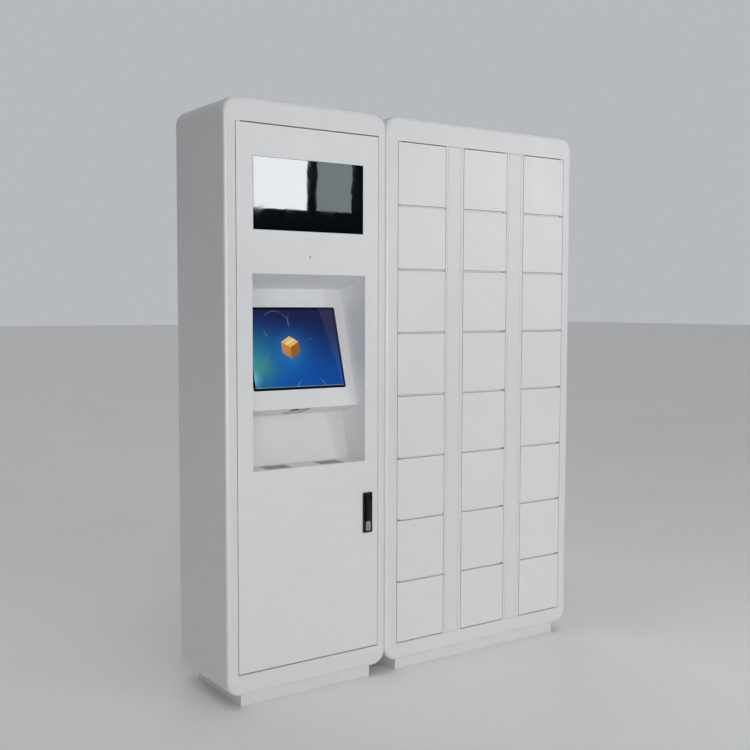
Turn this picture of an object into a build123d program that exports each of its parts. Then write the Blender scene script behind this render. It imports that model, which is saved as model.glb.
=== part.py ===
from build123d import *
import math
import os
from collections import namedtuple

# Parcel locker: a control cabinet with a service door, bolted to a bank of small locker doors.
# Millimetres. The origin is the centre of the footprint on the floor, +Z up, front towards -Y.
# Positions in this file are measured from the left side of the control cabinet (x), from the
# front plane (y, into the cabinet) and from the floor (z). place() turns them into the model's own.

# Overall sizes
CONTROL_WIDTH = 600.0
LOCKER_WIDTH = 860.0
DEPTH = 350.0
PLINTH_HEIGHT = 40.0
BODY_HEIGHT = 1860.0
HANDLE_REACH = 17.0
OVERALL_WIDTH = CONTROL_WIDTH + LOCKER_WIDTH
FRONT_SETBACK = (DEPTH - HANDLE_REACH) / 2

# Sheet metal
SHEET = 1.5
WELD_SEAM = 0.1
CORNER_RADIUS = 50.0
FRONT_RADIUS = 15.0
BODY_TOP = PLINTH_HEIGHT + BODY_HEIGHT
REAR = DEPTH - SHEET

# Plinths
PLINTH_SETBACK = 20.0
PLINTH_INSET = 55.0
PLINTH_SHEET = 2.0
PLINTH_FLANGE = 35.0
ANCHOR_RADIUS = 5.5
ANCHOR_INSET = 17.0

# Bolts between the two cabinets
JOINING_HOLE_RADIUS = 4.5
JOINING_SHANK_RADIUS = 4.0
JOINING_HEAD = 13.0
JOINING_HEAD_HEIGHT = 5.5
JOINING_THREAD_END = 9.0
JOINING_PLACES = [(y, z) for y in (90.0, 290.0) for z in (300.0, 1600.0)]

# Service door and its frame
DOOR_OPENING_X = (36.5, 566.5)
DOOR_OPENING_Z = (108.0, 1826.0)
DOOR_GAP = 2.5
DOOR_END_GAP = 4.0
DOOR_THICKNESS = 24.0
DOOR_STOP = 29.0
DOOR_FLANGE = 12.0
DOOR_PIVOT_INSET = 10.0
DOOR_PIVOT_DEPTH = 7.0
DOOR_PIN_RADIUS = 4.0
DOOR_PIN_ENGAGEMENT = 10.0
DOOR_TAB = 2.5
DOOR_TAB_FRONT = 2.0
DOOR_TAB_MARGIN = 2.0
DOOR_X = (DOOR_OPENING_X[0] + DOOR_GAP, DOOR_OPENING_X[1] - DOOR_GAP)
DOOR_Z = (DOOR_OPENING_Z[0] + DOOR_END_GAP, DOOR_OPENING_Z[1] - DOOR_END_GAP)
DOOR_PIVOT_X = DOOR_X[0] + DOOR_PIVOT_INSET

# Advertising display
DISPLAY_X = (96.5, 503.5)
DISPLAY_Z = (1500.5, 1723.5)
DISPLAY_GLASS = 4.0
DISPLAY_BORDER = 8.0
DISPLAY_END_BORDER = 16.0
DISPLAY_DEPTH = 32.0
DISPLAY_BACK_INSET = (60.0, 50.0)
DISPLAY_BACK_DEPTH = 12.0
BRACKET_X = (130.0, 470.0)
BRACKET_FOOT = 15.0
BRACKET_SHEET = 2.0

# Camera
CAMERA_X = 301.0
CAMERA_Z = 1420.0
CAMERA_HOLE_RADIUS = 3.0
CAMERA_LENS_RADIUS = 2.7
CAMERA_LENS_FRONT = 0.6
CAMERA_BODY = 26.0
CAMERA_BODY_DEPTH = 14.0

# Niche: one tilted section, everything in it is square or parallel to the touch panel
NICHE_X = (92.5, 512.5)
NICHE_SILL = 748.0
NICHE_TOP = 1365.0
NICHE_TILT = math.radians(16.0)
NICHE_ROOF_DEPTH = 161.2
TOUCH_PANEL_LENGTH = 402.8
UNDERSIDE_DEPTH = 104.0
NICHE_FLANGE = 12.0

# Touch screen
TOUCH_GLASS = (348.0, 277.0)
TOUCH_GLASS_RADIUS = 6.0
TOUCH_GLASS_THICKNESS = 4.0
TOUCH_MONITOR = (372.0, 306.0)
TOUCH_MONITOR_DEPTH = 42.0
FIT_GAP = 0.5

# Barcode scanner in the niche underside
SCANNER_SLOT = (73.0, 78.0)
SCANNER_BODY = (89.0, 88.0)
SCANNER_HEIGHT = 40.0
SCANNER_POCKET = 12.0
SCANNER_LIP = 3.0
SCANNER_TAPER = 12.0

# Card readers in the niche sill
READER_SIZE = (90.0, 64.0)
READER_CENTRES = (200.0, 399.0)
READER_Y = 47.0
READER_PLATE = 4.0
READER_BODY = (80.0, 54.0)
READER_BODY_HEIGHT = 18.0

# Swing handle
HANDLE_X = 521.3
HANDLE_Z = (505.6, 641.3)
HANDLE_WIDTH = 35.0
HANDLE_PLATE = 6.0
HANDLE_CORNER = 3.0
HANDLE_HOUSING_WIDTH = 25.0
HANDLE_HOUSING_DEPTH = 28.0
HANDLE_HOUSING_Z = (518.0, 640.0)
SPINDLE_Z = 624.0
SPINDLE_HEAD_RADIUS = 11.0
SPINDLE_HEAD_Y = (-8.5, -3.0)
SPINDLE_RADIUS = 5.0
SPINDLE_SQUARE = 7.0
EAR_X = (7.0, 9.5)
EAR_Z = (612.5, 631.0)
LEVER_Y = (-HANDLE_REACH, -6.5)
LEVER_PIVOT_Y = -11.5
LEVER_PIN_RADIUS = 2.0
LEVER_NECK_RADIUS = 3.0
LEVER_WIDTH = 19.0
LEVER_Z = (548.0, 611.0)
LEVER_NECK_WIDTH = 13.0
RUNNING_GAP = 0.06
KEY_X = 520.0
KEY_Z = 524.0
KEY_RADIUS = 5.5
KEY_Y = (-6.4, 24.0)
KEY_SLOT = (1.2, 7.0)
KEY_SLOT_DEPTH = 4.0
COVER_Y = (-10.0, -6.8)
COVER_WIDTH = 18.0
COVER_Z = (512.5, 544.5)
COVER_PIVOT_Z = 534.5
COVER_PIN_RADIUS = 1.5
COVER_PIN_END = -1.0
COVER_CORNER = 5.0

# Lock bars behind the service door
CAM_Y = (31.0, 34.0)
CAM_THROW = 14.0
CAM_PIN_RADIUS = 3.0
CAM_WIDTH = 16.0
CAM_MARGIN = 2.0
UPPER_PIN_PROUD = 0.3
LOWER_PIN_PROUD = 1.0
ROD_X = (519.0, 531.0)
UPPER_ROD_Y = (35.0, 39.0)
LOWER_ROD_Y = (39.5, 43.5)
ROD_END_CLEARANCE = 3.0
YOKE_WALL = 3.0
YOKE_LOST_MOTION = 3.0
YOKE_CLEARANCE = 0.5
GUIDE_HEIGHTS = (160.0, 430.0, 700.0, 1410.0, 1780.0)
GUIDE_X = (516.0, 535.5)
GUIDE_Y = (33.0, 46.0)
GUIDE_SHEET = 2.0
GUIDE_HALF_HEIGHT = 10.0
GUIDE_CLEARANCE = 0.3

# Locker front
COLUMN_DOORS_X = ((647.3, 849.3), (932.0, 1132.0), (1215.2, 1415.2))
HINGED_ON_LEFT = (True, False, False)
STRIPS_X = ((860.5, 917.5), (1144.0, 1201.0))
LOCKER_OPENING_Z = (99.0, 1819.0)
ROWS = 8
ROW_PITCH = (LOCKER_OPENING_Z[1] - LOCKER_OPENING_Z[0]) / ROWS
SIDE_GAP = 2.5
GROOVE = 7.0
LOCKER_DOOR_THICKNESS = 18.0
LOCKER_STOP = 22.0
HINGE_FLANGE = 12.0
LOCK_FLANGE = 22.0
END_FLANGE = 12.0
LOCKER_PIVOT_INSET = 8.0
LOCKER_PIVOT_DEPTH = 6.5
LOCKER_PIN_RADIUS = 2.5
LOCKER_PIN_ENGAGEMENT = 7.0
LOCKER_TAB = 2.5
LOCKER_TAB_Y = (2.0, 12.0)
LOCKER_TAB_REACH = 5.0
SHELF_LIP = 9.0
SHELF_NOSE = 5.0
SHELF_NOSE_FRONT = 6.0
SHELF_NOSE_GAP = 1.0
STRIP_GAP = 1.0
STRIP_THICKNESS = 12.0
STRIP_FLANGE = 5.0

# Electric locks and the strikers that enter them
STRIKER_INSET = 12.0
STRIKER_THICKNESS = 3.0
STRIKER_LENGTH = 40.0
STRIKER_HALF_HEIGHT = 9.0
STRIKER_EYE = (27.0, 35.0)
STRIKER_EYE_HALF = 5.0
SLOT_INWARD = 3.0
SLOT_OUTWARD = 6.5
SLOT_HALF_HEIGHT = 12.0
LOCK_WIDTH = 25.0
LOCK_LENGTH = 60.0
LOCK_HALF_HEIGHT = 38.0
LOCK_MOUTH_DEPTH = 22.0
LOCK_CONNECTOR_LENGTH = 8.0
LOCK_CONNECTOR_INSET = 7.0
LOCK_CONNECTOR_Z = (-30.0, -14.0)

# Equipment inside the control cabinet
COMPUTER_X = (200.0, 400.0)
COMPUTER_Y = (298.0, REAR)
COMPUTER_Z = (1480.0, 1680.0)
COMPUTER_FINS = 11
FIN_DEPTH = 10.0
BOARD_X = (180.0, 420.0)
BOARD_Z = (1150.0, 1300.0)
BOARD_STANDOFF = 10.0
BOARD_THICKNESS = 1.6
BOARD_POST_INSET = 8.0
BOARD_POST_RADIUS = 3.0
RELAYS = 6
RELAY_PITCH = 32.0
RELAY_SIZE = (19.0, 16.0)
RELAY_HEIGHT = 15.0
RELAY_CORNER = (30.0, 40.0)
TERMINAL_INSET = 30.0
TERMINAL_SIZE = 12.0
PROCESSOR_SIZE = 30.0
PROCESSOR_HEIGHT = 3.0
PROCESSOR_RISE = 80.0
SUPPLY_X = (190.0, 405.0)
SUPPLY_Y = (215.0, 330.0)
SUPPLY_HEIGHT = 50.0
SUPPLY_TERMINAL_LENGTH = 16.0
SUPPLY_TERMINAL_INSET = 12.0
SUPPLY_TERMINAL_Z = (8.0, 26.0)
VENT_SLOTS = 10
VENT_X = (220.0, 380.0)
VENT_HEIGHT = 6.0
VENT_PITCH = 18.0
VENT_BOTTOMS = (200.0, 1560.0)
INLET_X = 300.0
INLET_Y = 180.0
INLET_BORE_RADIUS = 12.0
INLET_SLEEVE_RADIUS = 16.0
INLET_SLEEVE = 3.0
INLET_CUTOUT = (60.0, 44.0)
INLET_PLATE_BORDER = 8.0
INLET_PLATE = 3.0

Frame = namedtuple("Frame", "x z depth left_flange right_flange end_flange")


def place(x, y, z):
    """The model's coordinates of a point measured from the left side, the front plane and the floor."""
    return (x - OVERALL_WIDTH / 2, y - FRONT_SETBACK, z)


def grow(span, amount):
    """An interval made longer by the same amount at both ends."""
    return (span[0] - amount, span[1] + amount)


def around(centre, half):
    """The interval of a half width around a centre."""
    return (centre - half, centre + half)


def upright_plane(y):
    """The vertical plane at depth y, seen from the front: local x is right and local y is up."""
    return Plane(origin=place(0, y, 0), x_dir=(1, 0, 0), z_dir=(0, -1, 0))


def block(x, y, z, mode=Mode.ADD):
    """A rectangular block over three intervals, in the piece being built."""
    with Locations(place(x[0], y[0], z[0])):
        Box(x[1] - x[0], y[1] - y[0], z[1] - z[0], align=(Align.MIN,) * 3, mode=mode)


def upright_pin(x, y, z, radius, mode=Mode.ADD):
    """A vertical cylinder over the interval z."""
    with Locations(place(x, y, z[0])):
        Cylinder(radius, z[1] - z[0], align=(Align.CENTER, Align.CENTER, Align.MIN), mode=mode)


def forward_pin(x, y, z, radius, mode=Mode.ADD):
    """A cylinder along the depth, over the interval y."""
    with Locations(Location(place(x, y[0], z), (-90, 0, 0))):
        Cylinder(radius, y[1] - y[0], align=(Align.CENTER, Align.CENTER, Align.MIN), mode=mode)


def sideways_pin(x, y, z, radius, mode=Mode.ADD):
    """A cylinder along the width, over the interval x."""
    with Locations(Location(place(x[0], y, z), (0, 90, 0))):
        Cylinder(radius, x[1] - x[0], align=(Align.CENTER, Align.CENTER, Align.MIN), mode=mode)


def tray(x, depth, z):
    """A folded sheet tray: flush front skin and four returns, open at the back."""
    block(x, (0, depth), z)
    block(grow(x, -SHEET), (SHEET, depth), grow(z, -SHEET), Mode.SUBTRACT)


def cabinet_shell(x, frames):
    """One cabinet's welded shell: the rounded wrap, the front face and a folded frame in each opening."""
    with BuildPart() as shell:
        with BuildSketch(upright_plane(0)):
            with Locations(((x[0] + x[1]) / 2, PLINTH_HEIGHT + BODY_HEIGHT / 2)):
                RectangleRounded(x[1] - x[0], BODY_HEIGHT, CORNER_RADIUS)
        extrude(amount=-REAR)
        fillet(shell.faces().sort_by(Axis.Y)[0].outer_wire().edges(), FRONT_RADIUS)
        offset(amount=-SHEET, openings=shell.faces().sort_by(Axis.Y)[-1])
        for frame in frames:
            block(grow(frame.x, SHEET), (0, frame.depth + SHEET), grow(frame.z, SHEET))
            block(frame.x, (0, frame.depth), frame.z, Mode.SUBTRACT)
            clear_x = (frame.x[0] + frame.left_flange, frame.x[1] - frame.right_flange)
            clear_z = grow(frame.z, -frame.end_flange)
            block(clear_x, (0, frame.depth + SHEET), clear_z, Mode.SUBTRACT)
        for y, z in JOINING_PLACES:
            sideways_pin(around(CONTROL_WIDTH, 2 * SHEET), y, z, JOINING_HOLE_RADIUS, Mode.SUBTRACT)
    return shell.part


def rear_panel(x, vents):
    """The flat back of one cabinet, with rows of ventilation slots starting at the given heights."""
    with BuildPart() as panel:
        with BuildSketch(upright_plane(REAR)):
            with Locations(((x[0] + x[1]) / 2, PLINTH_HEIGHT + BODY_HEIGHT / 2)):
                RectangleRounded(x[1] - x[0], BODY_HEIGHT, CORNER_RADIUS)
        extrude(amount=-SHEET)
        for bottom in vents:
            for slot in range(VENT_SLOTS):
                low = bottom + slot * VENT_PITCH
                block(VENT_X, (REAR, DEPTH), (low, low + VENT_HEIGHT), Mode.SUBTRACT)
    return panel.part


def plinth(x):
    """The recessed base of one cabinet: four walls and an inward floor flange with four anchor holes."""
    outer_x = grow(x, -PLINTH_INSET)
    outer_y = (PLINTH_SETBACK, DEPTH - PLINTH_SETBACK)
    with BuildPart() as base:
        block(outer_x, outer_y, (0, PLINTH_HEIGHT))
        walls_x = grow(outer_x, -PLINTH_SHEET)
        walls_y = grow(outer_y, -PLINTH_SHEET)
        block(walls_x, walls_y, (PLINTH_SHEET, PLINTH_HEIGHT), Mode.SUBTRACT)
        flange_x = grow(outer_x, -PLINTH_FLANGE)
        flange_y = grow(outer_y, -PLINTH_FLANGE)
        block(flange_x, flange_y, (0, PLINTH_SHEET), Mode.SUBTRACT)
        for hole_x in grow(outer_x, -ANCHOR_INSET):
            for hole_y in grow(outer_y, -ANCHOR_INSET):
                upright_pin(hole_x, hole_y, (0, PLINTH_SHEET), ANCHOR_RADIUS, Mode.SUBTRACT)
    return base.part


def row_lines(row):
    """Lowest and highest height of one row's cell, row 1 at the top."""
    top = LOCKER_OPENING_Z[1] - (row - 1) * ROW_PITCH
    return (top - ROW_PITCH, top)


def pivot_x(column):
    """Hinge axis of one column of doors."""
    left, right = COLUMN_DOORS_X[column]
    return left + LOCKER_PIVOT_INSET if HINGED_ON_LEFT[column] else right - LOCKER_PIVOT_INSET


def striker_x(column):
    """Middle of the strikers of one column, near the free edge of its doors."""
    left, right = COLUMN_DOORS_X[column]
    return right - STRIKER_INSET if HINGED_ON_LEFT[column] else left + STRIKER_INSET


def slot_x(column):
    """The interval of the striker slots, longer towards the jamb, where the striker swings."""
    centre = striker_x(column)
    if HINGED_ON_LEFT[column]:
        return (centre - SLOT_INWARD, centre + SLOT_OUTWARD)
    return (centre - SLOT_OUTWARD, centre + SLOT_INWARD)


def column_frame(column):
    """The folded frame around one column of doors."""
    hinge_left = HINGED_ON_LEFT[column]
    return Frame(
        x=grow(COLUMN_DOORS_X[column], SIDE_GAP),
        z=LOCKER_OPENING_Z,
        depth=LOCKER_STOP,
        left_flange=HINGE_FLANGE if hinge_left else LOCK_FLANGE,
        right_flange=LOCK_FLANGE if hinge_left else HINGE_FLANGE,
        end_flange=END_FLANGE,
    )


def clear_width(column):
    """The interval between the two side walls of one column of compartments."""
    frame = column_frame(column)
    return (frame.x[0] + frame.left_flange, frame.x[1] - frame.right_flange)


def locker_door(column, row):
    """One compartment door: a tray with two hinge pin holes and a welded striker with an eye."""
    x = COLUMN_DOORS_X[column]
    z = grow(row_lines(row), -GROOVE / 2)
    middle = (z[0] + z[1]) / 2
    striker = around(striker_x(column), STRIKER_THICKNESS / 2)
    with BuildPart() as door:
        tray(x, LOCKER_DOOR_THICKNESS, z)
        hole_radius = LOCKER_PIN_RADIUS + RUNNING_GAP
        upright_pin(pivot_x(column), LOCKER_PIVOT_DEPTH, z, hole_radius, Mode.SUBTRACT)
        block(striker, (SHEET, STRIKER_LENGTH), around(middle, STRIKER_HALF_HEIGHT))
        block(striker, STRIKER_EYE, around(middle, STRIKER_EYE_HALF), Mode.SUBTRACT)
    return door.part


os.makedirs("parts", exist_ok=True)

control_x = (0.0, CONTROL_WIDTH)
locker_x = (CONTROL_WIDTH, OVERALL_WIDTH)
columns = range(len(COLUMN_DOORS_X))

# ---- Control cabinet, fixed pieces ----

service_frame = Frame(
    x=DOOR_OPENING_X,
    z=DOOR_OPENING_Z,
    depth=DOOR_STOP,
    left_flange=DOOR_FLANGE,
    right_flange=DOOR_FLANGE,
    end_flange=DOOR_FLANGE,
)
with BuildPart() as main_shell:
    add(cabinet_shell(control_x, [service_frame]))
    cutout_x = around(INLET_X, INLET_CUTOUT[0] / 2)
    cutout_y = around(INLET_Y, INLET_CUTOUT[1] / 2)
    floor_z = (PLINTH_HEIGHT, PLINTH_HEIGHT + SHEET)
    block(cutout_x, cutout_y, floor_z, Mode.SUBTRACT)
    # The door frame is four folded angles welded behind the front: the top and bottom ones run across
    frame_x = grow(DOOR_OPENING_X, SHEET)
    frame_z = grow(DOOR_OPENING_Z, SHEET)
    block(frame_x, (SHEET, SHEET + WELD_SEAM), frame_z, Mode.SUBTRACT)
    inner_z = grow(DOOR_OPENING_Z, -DOOR_FLANGE)
    for seam_z in ((inner_z[0], inner_z[0] + WELD_SEAM), (inner_z[1] - WELD_SEAM, inner_z[1])):
        block(frame_x, (SHEET, DOOR_STOP + SHEET), seam_z, Mode.SUBTRACT)
main_shell.part.label = "main_shell"
export_step(main_shell.part, "parts/main_shell.step")

with BuildPart() as main_rear_panel:
    add(rear_panel(control_x, VENT_BOTTOMS))
main_rear_panel.part.label = "main_rear_panel"
export_step(main_rear_panel.part, "parts/main_rear_panel.step")

with BuildPart() as main_plinth:
    add(plinth(control_x))
main_plinth.part.label = "main_plinth"
export_step(main_plinth.part, "parts/main_plinth.step")

# Pivot brackets: a thin tab in the end gap, with a pin into the door's top or bottom return
with BuildPart() as main_hinge_brackets:
    tab_reach = DOOR_PIN_RADIUS + DOOR_TAB_MARGIN
    tab_x = (DOOR_OPENING_X[0], DOOR_PIVOT_X + tab_reach)
    tab_y = (DOOR_TAB_FRONT, DOOR_PIVOT_DEPTH + tab_reach)
    bottom_tab = (DOOR_OPENING_Z[0], DOOR_OPENING_Z[0] + DOOR_TAB)
    top_tab = (DOOR_OPENING_Z[1] - DOOR_TAB, DOOR_OPENING_Z[1])
    block(tab_x, tab_y, bottom_tab)
    block(tab_x, tab_y, top_tab)
    bottom_pin = (bottom_tab[0], DOOR_Z[0] + DOOR_PIN_ENGAGEMENT)
    top_pin = (DOOR_Z[1] - DOOR_PIN_ENGAGEMENT, top_tab[1])
    upright_pin(DOOR_PIVOT_X, DOOR_PIVOT_DEPTH, bottom_pin, DOOR_PIN_RADIUS)
    upright_pin(DOOR_PIVOT_X, DOOR_PIVOT_DEPTH, top_pin, DOOR_PIN_RADIUS)
main_hinge_brackets.part.label = "main_hinge_brackets"
export_step(main_hinge_brackets.part, "parts/main_hinge_brackets.step")

# Fanless computer: a flat case with cooling fins towards the door
with BuildPart() as control_computer:
    block(COMPUTER_X, (COMPUTER_Y[0] + FIN_DEPTH, COMPUTER_Y[1]), COMPUTER_Z)
    fin_step = (COMPUTER_X[1] - COMPUTER_X[0]) / (2 * COMPUTER_FINS - 1)
    for fin in range(COMPUTER_FINS):
        fin_left = COMPUTER_X[0] + 2 * fin * fin_step
        block((fin_left, fin_left + fin_step), (COMPUTER_Y[0], COMPUTER_Y[0] + FIN_DEPTH), COMPUTER_Z)
control_computer.part.label = "control_computer"
export_step(control_computer.part, "parts/control_computer.step")

# Circuit board on four posts, with relays, terminal strips and a processor block
with BuildPart() as lock_control_board:
    board_y = (REAR - BOARD_STANDOFF - BOARD_THICKNESS, REAR - BOARD_STANDOFF)
    block(BOARD_X, board_y, BOARD_Z)
    for post_x in grow(BOARD_X, -BOARD_POST_INSET):
        for post_z in grow(BOARD_Z, -BOARD_POST_INSET):
            forward_pin(post_x, (board_y[1], REAR), post_z, BOARD_POST_RADIUS)
    relay_y = (board_y[0] - RELAY_HEIGHT, board_y[0])
    relay_z = (BOARD_Z[0] + RELAY_CORNER[1], BOARD_Z[0] + RELAY_CORNER[1] + RELAY_SIZE[1])
    for relay in range(RELAYS):
        relay_x = BOARD_X[0] + RELAY_CORNER[0] + relay * RELAY_PITCH
        block((relay_x, relay_x + RELAY_SIZE[0]), relay_y, relay_z)
    for edge, side in ((BOARD_Z[0], 1), (BOARD_Z[1], -1)):
        terminal_z = sorted((edge + side * TERMINAL_SIZE, edge + 2 * side * TERMINAL_SIZE))
        block(grow(BOARD_X, -TERMINAL_INSET), (board_y[0] - TERMINAL_SIZE, board_y[0]), terminal_z)
    processor_x = around(sum(BOARD_X) / 2, PROCESSOR_SIZE / 2)
    processor_z = (BOARD_Z[0] + PROCESSOR_RISE, BOARD_Z[0] + PROCESSOR_RISE + PROCESSOR_SIZE)
    block(processor_x, (board_y[0] - PROCESSOR_HEIGHT, board_y[0]), processor_z)
lock_control_board.part.label = "lock_control_board"
export_step(lock_control_board.part, "parts/lock_control_board.step")

# Power supply on the cabinet floor, with a terminal block on its left end
with BuildPart() as power_supply:
    supply_bottom = PLINTH_HEIGHT + SHEET
    block(SUPPLY_X, SUPPLY_Y, (supply_bottom, supply_bottom + SUPPLY_HEIGHT))
    terminal_x = (SUPPLY_X[0] - SUPPLY_TERMINAL_LENGTH, SUPPLY_X[0])
    terminal_z = (supply_bottom + SUPPLY_TERMINAL_Z[0], supply_bottom + SUPPLY_TERMINAL_Z[1])
    block(terminal_x, grow(SUPPLY_Y, -SUPPLY_TERMINAL_INSET), terminal_z)
power_supply.part.label = "power_supply"
export_step(power_supply.part, "parts/power_supply.step")

# Moulded rubber entry plate in the floor's cutout, with a round sleeve for the mains cable
with BuildPart() as mains_inlet:
    inlet_z = (floor_z[0] - INLET_SLEEVE, floor_z[1] + INLET_PLATE)
    block(grow(cutout_x, -FIT_GAP), grow(cutout_y, -FIT_GAP), floor_z)
    plate_x = grow(cutout_x, INLET_PLATE_BORDER)
    plate_y = grow(cutout_y, INLET_PLATE_BORDER)
    block(plate_x, plate_y, (floor_z[1], inlet_z[1]))
    upright_pin(INLET_X, INLET_Y, inlet_z, INLET_SLEEVE_RADIUS)
    upright_pin(INLET_X, INLET_Y, inlet_z, INLET_BORE_RADIUS, Mode.SUBTRACT)
mains_inlet.part.label = "mains_inlet"
export_step(mains_inlet.part, "parts/mains_inlet.step")

# Hexagon bolts with nuts that hold the two cabinets together
with BuildPart() as cabinet_joining_bolts:
    for bolt_y, bolt_z in JOINING_PLACES:
        shank_x = (CONTROL_WIDTH - SHEET, CONTROL_WIDTH + SHEET + JOINING_THREAD_END)
        sideways_pin(shank_x, bolt_y, bolt_z, JOINING_SHANK_RADIUS)
        for face_x, height in (
            (CONTROL_WIDTH - SHEET, -JOINING_HEAD_HEIGHT),
            (CONTROL_WIDTH + SHEET, JOINING_HEAD_HEIGHT),
        ):
            hexagon_plane = Plane(origin=place(face_x, bolt_y, bolt_z), x_dir=(0, 1, 0), z_dir=(1, 0, 0))
            with BuildSketch(hexagon_plane):
                RegularPolygon(JOINING_HEAD / 2, 6, major_radius=False)
            extrude(amount=height)
cabinet_joining_bolts.part.label = "cabinet_joining_bolts"
export_step(cabinet_joining_bolts.part, "parts/cabinet_joining_bolts.step")

# ---- Service door and everything fixed to it ----

housing_x = around(HANDLE_X, HANDLE_HOUSING_WIDTH / 2)

with BuildPart() as service_door_panel:
    tray(DOOR_X, DOOR_THICKNESS, DOOR_Z)
    skin = (0, SHEET)
    block(grow(DISPLAY_X, FIT_GAP), skin, grow(DISPLAY_Z, FIT_GAP), Mode.SUBTRACT)
    forward_pin(CAMERA_X, skin, CAMERA_Z, CAMERA_HOLE_RADIUS, Mode.SUBTRACT)
    block(NICHE_X, skin, (NICHE_SILL, NICHE_TOP), Mode.SUBTRACT)
    block(housing_x, skin, HANDLE_HOUSING_Z, Mode.SUBTRACT)
    pin_hole = DOOR_PIN_RADIUS + RUNNING_GAP
    upright_pin(DOOR_PIVOT_X, DOOR_PIVOT_DEPTH, DOOR_Z, pin_hole, Mode.SUBTRACT)
service_door_panel.part.label = "service_door_panel"
export_step(service_door_panel.part, "parts/service_door_panel.step")

with BuildPart() as display_glass:
    block(DISPLAY_X, (0, DISPLAY_GLASS), DISPLAY_Z)
display_glass.part.label = "display_glass"
export_step(display_glass.part, "parts/display_glass.step")

module_x = grow(DISPLAY_X, DISPLAY_BORDER)
module_z = grow(DISPLAY_Z, DISPLAY_END_BORDER)
with BuildPart() as advert_display:
    block(module_x, (DISPLAY_GLASS, DISPLAY_DEPTH), module_z)
    back_x = grow(module_x, -DISPLAY_BACK_INSET[0])
    back_z = grow(module_z, -DISPLAY_BACK_INSET[1])
    block(back_x, (DISPLAY_DEPTH, DISPLAY_DEPTH + DISPLAY_BACK_DEPTH), back_z)
advert_display.part.label = "advert_display"
export_step(advert_display.part, "parts/advert_display.step")

# Two Z-shaped rails that hold the display against the door, one above and one below it
with BuildPart() as display_brackets:
    lip_y = (DISPLAY_DEPTH, DISPLAY_DEPTH + BRACKET_SHEET)
    for edge, out in ((module_z[0], -1), (module_z[1], 1)):
        foot = sorted((edge, edge + out * (BRACKET_SHEET + BRACKET_FOOT)))
        web = sorted((edge, edge + out * BRACKET_SHEET))
        lip = sorted((edge - out * BRACKET_FOOT, edge + out * BRACKET_SHEET))
        block(BRACKET_X, (SHEET, SHEET + BRACKET_SHEET), foot)
        block(BRACKET_X, (SHEET, lip_y[1]), web)
        block(BRACKET_X, lip_y, lip)
display_brackets.part.label = "display_brackets"
export_step(display_brackets.part, "parts/display_brackets.step")

with BuildPart() as camera_module:
    camera_y = (SHEET, SHEET + CAMERA_BODY_DEPTH)
    block(around(CAMERA_X, CAMERA_BODY / 2), camera_y, around(CAMERA_Z, CAMERA_BODY / 2))
    forward_pin(CAMERA_X, (CAMERA_LENS_FRONT, SHEET), CAMERA_Z, CAMERA_LENS_RADIUS)
camera_module.part.label = "camera_module"
export_step(camera_module.part, "parts/camera_module.step")

# Corners of the niche in section, as (depth, height)
panel_down = (-math.sin(NICHE_TILT), -math.cos(NICHE_TILT))
panel_back = (math.cos(NICHE_TILT), -math.sin(NICHE_TILT))
roof_back = (NICHE_ROOF_DEPTH * panel_back[0], NICHE_TOP + NICHE_ROOF_DEPTH * panel_back[1])
panel_foot = (
    roof_back[0] + TOUCH_PANEL_LENGTH * panel_down[0],
    roof_back[1] + TOUCH_PANEL_LENGTH * panel_down[1],
)
underside_back = (
    panel_foot[0] + UNDERSIDE_DEPTH * panel_back[0],
    panel_foot[1] + UNDERSIDE_DEPTH * panel_back[1],
)
sill_back = (
    underside_back[0] - (underside_back[1] - NICHE_SILL) * math.tan(NICHE_TILT),
    NICHE_SILL,
)
niche_corners = [
    (0, NICHE_SILL),
    (0, NICHE_TOP),
    roof_back,
    panel_foot,
    underside_back,
    sill_back,
]

niche_middle = (NICHE_X[0] + NICHE_X[1]) / 2
panel_middle = (
    (roof_back[0] + panel_foot[0]) / 2,
    (roof_back[1] + panel_foot[1]) / 2,
)
touch_plane = Plane(
    origin=place(niche_middle, *panel_middle),
    x_dir=(1, 0, 0),
    z_dir=(0, -panel_back[0], -panel_back[1]),
)
underside_plane = Plane(
    origin=place(
        niche_middle,
        (panel_foot[0] + underside_back[0]) / 2,
        (panel_foot[1] + underside_back[1]) / 2,
    ),
    x_dir=(1, 0, 0),
    z_dir=(0, panel_down[0], panel_down[1]),
)

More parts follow.
